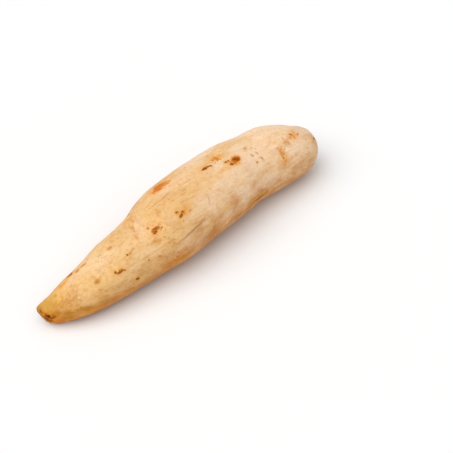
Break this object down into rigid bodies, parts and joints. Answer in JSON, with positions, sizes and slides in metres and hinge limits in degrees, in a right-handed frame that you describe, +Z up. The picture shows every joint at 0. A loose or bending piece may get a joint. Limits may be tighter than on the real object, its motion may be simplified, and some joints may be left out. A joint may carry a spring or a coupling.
{
  "type": "yacon root",
  "caption": "Whole yacon storage root lying on its side: a long tapered tuber with a thick belly, a blunt round end and a narrow snapped end. Served as fresh produce.",
  "frame": {"origin": "the middle of the underside of the root's bounding box, on the surface that the root rests on", "axes": "+X along the root's length towards its blunt round end, the narrow snapped end points to -X; +Z up from the surface that the root lies on; +Y across the root"},
  "size_m": [0.2626, 0.0676, 0.0609],
  "materials": {
    "skin": "thin smooth satin root skin, pinkish cream at the blunt end to golden tan at the narrow end, with orange-brown stains, small dark scabs and fine lengthwise striations"
  },
  "bodies": {
    "root": {"yacon_root": "skin"}
  },
  "joints": []
}
